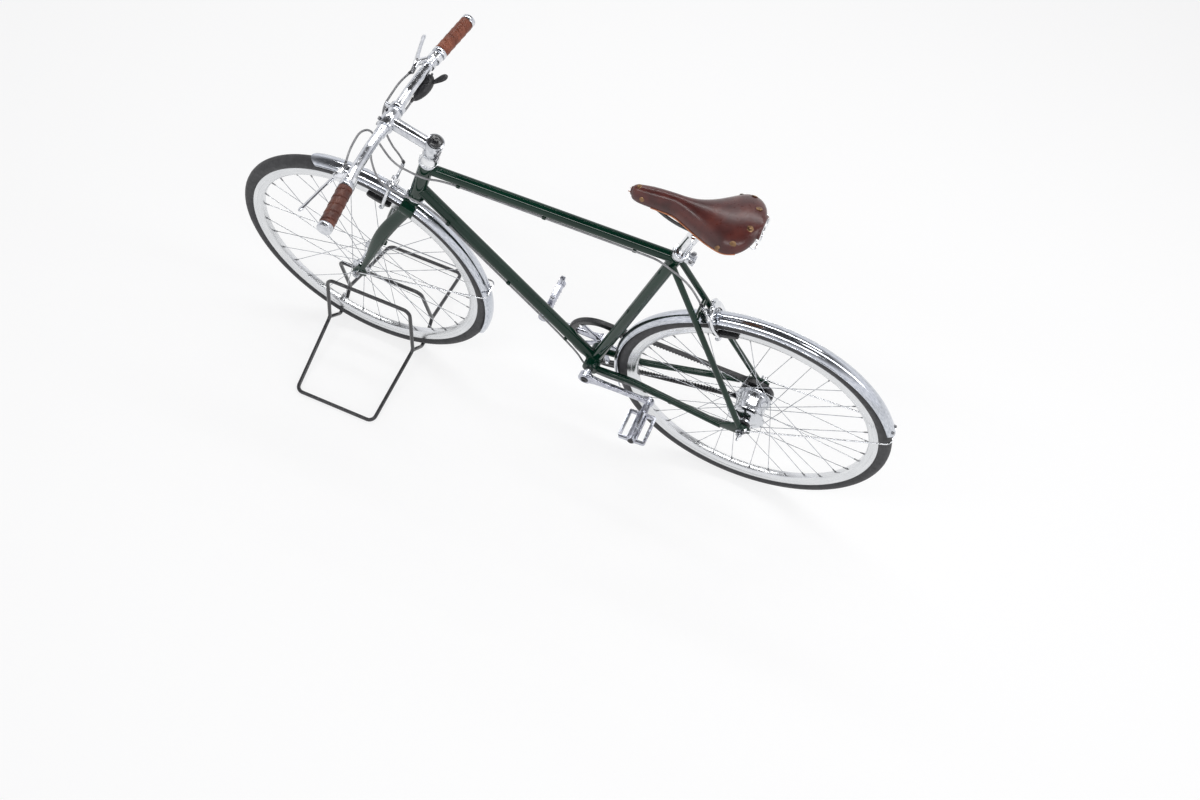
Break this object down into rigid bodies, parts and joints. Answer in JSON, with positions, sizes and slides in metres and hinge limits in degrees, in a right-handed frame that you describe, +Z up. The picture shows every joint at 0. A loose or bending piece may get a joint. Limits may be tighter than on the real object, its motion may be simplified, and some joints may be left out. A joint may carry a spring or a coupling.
{
  "type": "city bicycle",
  "caption": "Diamond-frame city bicycle with belt drive, full fenders, leather saddle and grips, flat bar and rim brakes, standing in a wire display stand.",
  "frame": {"origin": "on the floor, midway between the two axles, in the middle plane of the frame", "axes": "+X towards the rear wheel, +Y towards the drive side (the rider's right), +Z up"},
  "size_m": [1.712, 0.6322, 1.0133],
  "materials": {
    "frame_paint": "gloss",
    "polished": "polished",
    "chrome": "polished",
    "tyre_black": "satin",
    "rubber_black": "matte",
    "spoke_steel": "satin",
    "saddle_brown": "gloss",
    "grip_brown": "satin",
    "black_metal": "satin",
    "black_plastic": "satin",
    "cable_grey": "satin",
    "belt_black": "matte",
    "stand_black": "satin"
  },
  "bodies": {
    "front_end": {"display_stand": "stand_black", "fork_steerer": "frame_paint", "left_fork_blade": "frame_paint", "right_fork_blade": "frame_paint", "headset_cover": "polished", "stem": "polished", "stem_cap": "black_metal", "handlebar": "polished", "left_grip": "grip_brown", "right_grip": "grip_brown", "grip_rings": "polished", "left_brake_lever": "polished", "right_brake_lever": "polished", "gear_shifter": "black_plastic", "front_brake": "polished", "front_brake_pads": "rubber_black", "front_fender": "polished", "front_fender_stay": "chrome", "front_brake_cable": "cable_grey", "accessory_clamp": "polished", "front_axle": "spoke_steel"},
    "front_wheel": {"front_tyre": "tyre_black", "front_rim": "polished", "front_hub": "polished", "front_spokes": "spoke_steel"},
    "frame": {"head_tube": "frame_paint", "headset_cups": "polished", "top_tube": "frame_paint", "down_tube": "frame_paint", "seat_tube": "frame_paint", "bottom_bracket_shell": "frame_paint", "left_chainstay": "frame_paint", "right_chainstay": "frame_paint", "seatstays": "frame_paint", "seatpost": "polished", "seat_clamp": "polished", "saddle_leather": "saddle_brown", "saddle_frame": "chrome", "rear_brake": "polished", "rear_brake_pads": "rubber_black", "rear_fender": "polished", "rear_fender_stay": "chrome", "rear_brake_cable": "cable_grey", "gear_cable": "cable_grey", "drive_belt": "belt_black", "rear_axle": "spoke_steel", "gear_actuator": "black_plastic"},
    "rear_wheel": {"rear_tyre": "tyre_black", "rear_rim": "polished", "rear_hub": "polished", "rear_spokes": "spoke_steel"},
    "crankset": {"crank_spindle": "spoke_steel", "left_crank": "polished", "right_crank": "polished", "front_pulley": "black_metal", "pedal_spindles": "spoke_steel"},
    "left_pedal": {"left_pedal": "polished"},
    "right_pedal": {"right_pedal": "polished"},
    "rear_pulley": {"rear_pulley": "black_metal"}
  },
  "joints": [
    {"name": "steering", "type": "hinge", "parent": "front_end", "child": "frame", "pos_m": [-0.34195, 0, 0.68249], "axis": [0.3049, 0, 0.9524], "range_deg": [-60, 60], "deforming": ["rear_brake_cable", "gear_cable"]},
    {"name": "front_wheel_spin", "type": "hinge", "parent": "front_end", "child": "front_wheel", "pos_m": [-0.515, 0, 0.341], "axis": [0, 1, 0], "continuous": true},
    {"name": "rear_wheel_spin", "type": "hinge", "parent": "frame", "child": "rear_wheel", "pos_m": [0.515, 0, 0.341], "axis": [0, 1, 0], "continuous": true},
    {"name": "crank_turn", "type": "hinge", "parent": "frame", "child": "crankset", "pos_m": [0.11397, 0, 0.287], "axis": [0, 1, 0], "continuous": true},
    {"name": "rear_pulley_turn", "type": "hinge", "parent": "frame", "child": "rear_pulley", "pos_m": [0.515, 0, 0.341], "axis": [0, 1, 0], "continuous": true},
    {"name": "left_pedal_spin", "type": "hinge", "parent": "crankset", "child": "left_pedal", "pos_m": [0.28355, 0, 0.29886], "axis": [0, 1, 0], "continuous": true},
    {"name": "right_pedal_spin", "type": "hinge", "parent": "crankset", "child": "right_pedal", "pos_m": [-0.05562, 0, 0.27514], "axis": [0, 1, 0], "continuous": true}
  ],
  "couplings": [
    {"joint": "rear_pulley_turn", "follows": "crank_turn", "ratio": 2.2812}
  ]
}
